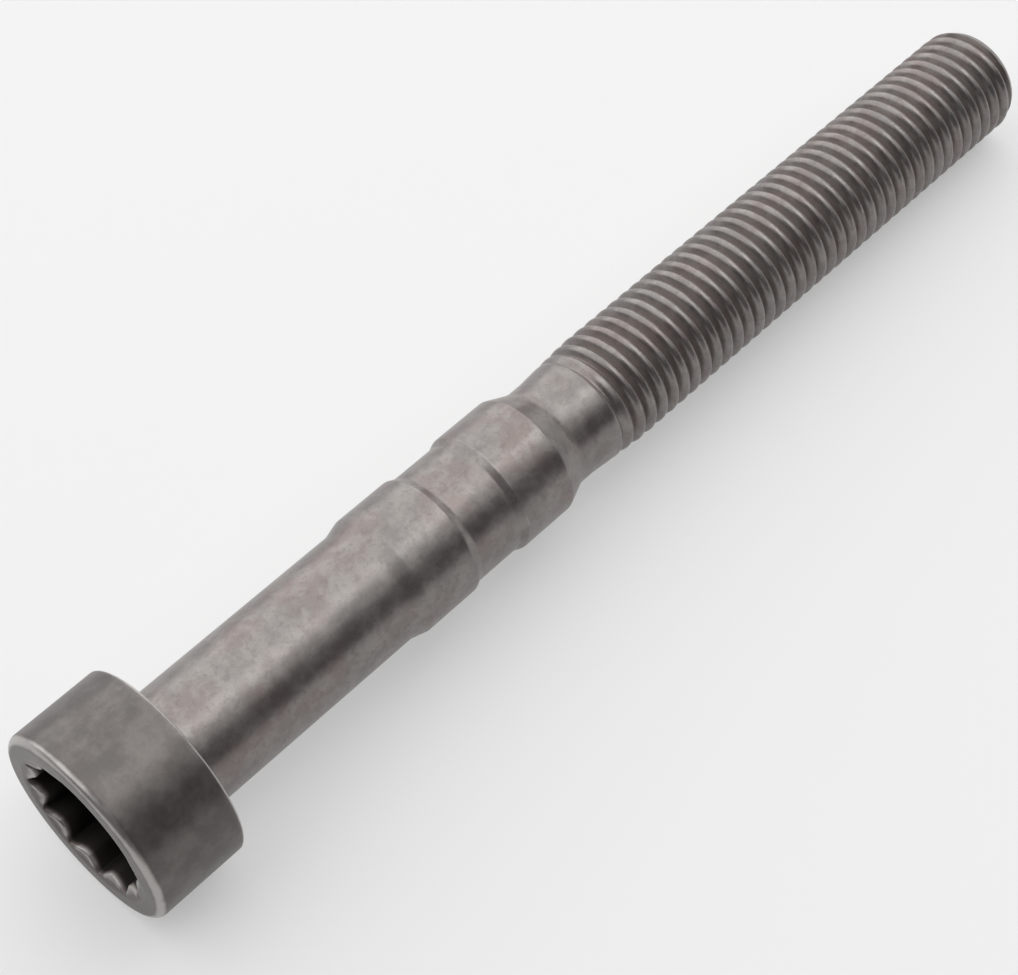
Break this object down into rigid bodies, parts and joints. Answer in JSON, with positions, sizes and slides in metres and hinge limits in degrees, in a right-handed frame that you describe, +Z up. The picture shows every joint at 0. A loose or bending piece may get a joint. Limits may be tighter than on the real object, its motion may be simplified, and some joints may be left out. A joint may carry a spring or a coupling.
{
  "type": "rocker arm shaft bolt",
  "caption": "Long steel bolt with a tall cylindrical head, a multi-point drive socket, raised guide collars on the shank, a rolled neck and a threaded end.",
  "frame": {"origin": "centre of the flat bearing face under the head, on the bolt's axis", "axes": "+X along the bolt's axis, from the head towards the threaded tip; +Z up as the bolt lies on its side"},
  "size_m": [0.1157, 0.0184, 0.0184],
  "materials": {
    "phosphated_steel": "dark grey phosphated steel, satin, with bright rubbed edges"
  },
  "bodies": {
    "root": {"bolt": "phosphated_steel"}
  },
  "joints": []
}
